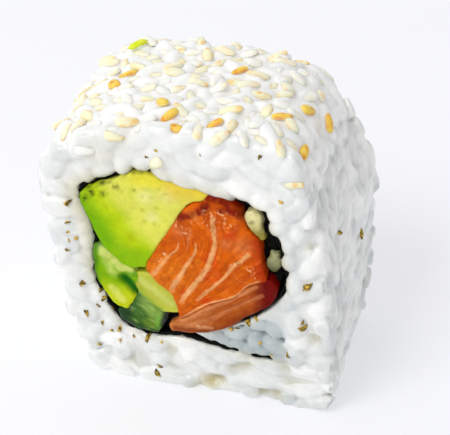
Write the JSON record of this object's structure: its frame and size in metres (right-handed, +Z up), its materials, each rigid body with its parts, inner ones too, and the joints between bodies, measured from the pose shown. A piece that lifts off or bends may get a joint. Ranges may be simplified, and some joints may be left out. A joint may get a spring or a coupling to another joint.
{
  "type": "uramaki roll",
  "caption": "Inside-out sushi roll cut from a log: a square slab of rice with sesame on top, a coil of nori in it, and salmon, avocado and cucumber running through.",
  "frame": {"origin": "centre of the underside of the whole roll's bounding box, on the surface it rests on", "axes": "+Z up as the roll lies on its flat side, with the sesame on top; +Y along the roll, from the cut face that shows (at -Y) to the other; +X to the right of that face"},
  "size_m": [0.0466, 0.0256, 0.0453],
  "materials": {
    "rice": "moist cooked rice, slightly translucent, with cream and toasted sesame",
    "sesame": "hulled cream seeds, some toasted golden or brown",
    "nori": "dark green-black seaweed sheet, satin",
    "salmon": "moist orange flesh with pale fat lines",
    "avocado": "soft flesh, green at the skin side and pale yellow inside",
    "cucumber": "wet translucent flesh with a dark green skin edge"
  },
  "bodies": {
    "root": {"rice": "rice", "nori": "nori", "salmon_main": "salmon", "salmon_lower": "salmon", "avocado_large": "avocado", "avocado_small": "avocado", "cucumber_pale": "cucumber", "cucumber_green": "cucumber", "sliver_upper": "avocado", "sliver_lower": "cucumber"}
  },
  "joints": []
}
